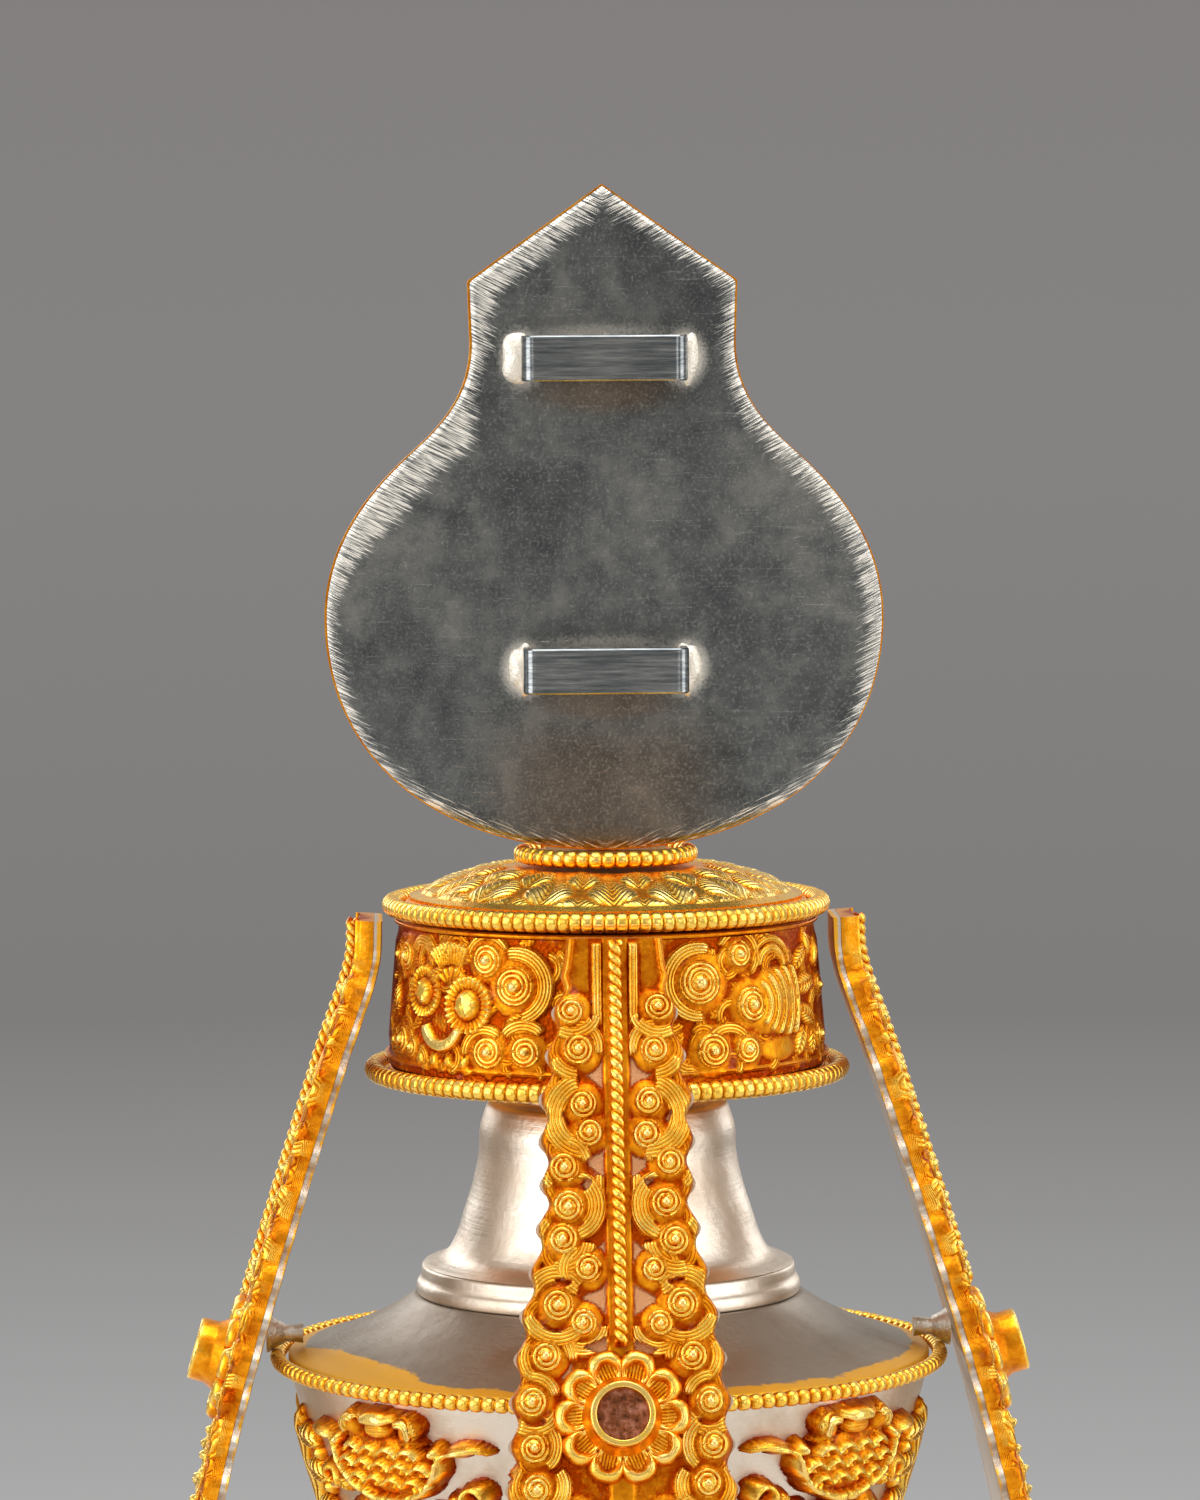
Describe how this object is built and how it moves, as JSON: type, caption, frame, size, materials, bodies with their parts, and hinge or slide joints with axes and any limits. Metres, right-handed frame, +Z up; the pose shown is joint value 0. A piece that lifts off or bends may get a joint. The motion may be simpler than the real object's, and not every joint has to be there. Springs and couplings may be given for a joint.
{
  "type": "long life vase",
  "caption": "Ritual long-life vase: silver body on a lotus foot, gilt drum with free-hanging straps, and a lift-off lid that carries an upright plaque.",
  "frame": {"origin": "centre of the foot's underside, where the vase stands", "axes": "+Z up; -Y towards the plaque's plain silver back with its two loops; +Y towards the gilt face of the plaque"},
  "size_m": [0.0922, 0.0922, 0.2031],
  "materials": {
    "gilt": "fire-gilt repousse, bright on the heights and orange in the recesses",
    "silver": "satin raised silver",
    "plaque_silver": "rolled silver sheet, near mirror, filed at the edge"
  },
  "bodies": {
    "vase": {"base_plate": "silver", "foot_shell": "gilt", "foot_beading": "gilt", "foot_waist_beading": "gilt", "stem": "silver", "calyx": "gilt", "belly_bowl": "silver", "shoulder_plate": "silver", "shoulder_beading": "gilt", "neck_collar": "silver", "neck": "silver", "drum_floor": "gilt", "drum_wall": "gilt", "drum_beading": "gilt", "strap_front_1": "gilt", "strap_front_2": "gilt", "strap_front_3": "gilt", "strap_front_4": "gilt", "strap_back_1": "silver", "strap_back_2": "silver", "strap_back_3": "silver", "strap_back_4": "silver", "strap_wire_1": "gilt", "strap_wire_2": "gilt", "strap_wire_3": "gilt", "strap_wire_4": "gilt", "strap_stay_1": "silver", "strap_stay_2": "silver", "strap_stay_3": "silver", "strap_stay_4": "silver", "strap_flower_1": "gilt", "strap_flower_2": "gilt", "strap_flower_3": "gilt", "strap_flower_4": "gilt", "strap_bezel_1": "gilt", "strap_bezel_2": "gilt", "strap_bezel_3": "gilt", "strap_bezel_4": "gilt", "belly_mask_1": "gilt", "belly_mask_2": "gilt", "belly_mask_3": "gilt", "belly_mask_4": "gilt"},
    "lid": {"lid_dome": "gilt", "lid_spigot": "gilt", "lid_beading": "gilt", "lid_collar": "gilt", "lid_collar_beading": "gilt", "plaque_back": "plaque_silver", "plaque_front": "gilt", "plaque_tang": "silver", "upper_loop": "silver", "lower_loop": "silver"}
  },
  "joints": [
    {"name": "lid_lift", "type": "slide", "parent": "vase", "child": "lid", "axis": [0, 0, 1], "range_m": [0, 0.04]}
  ]
}
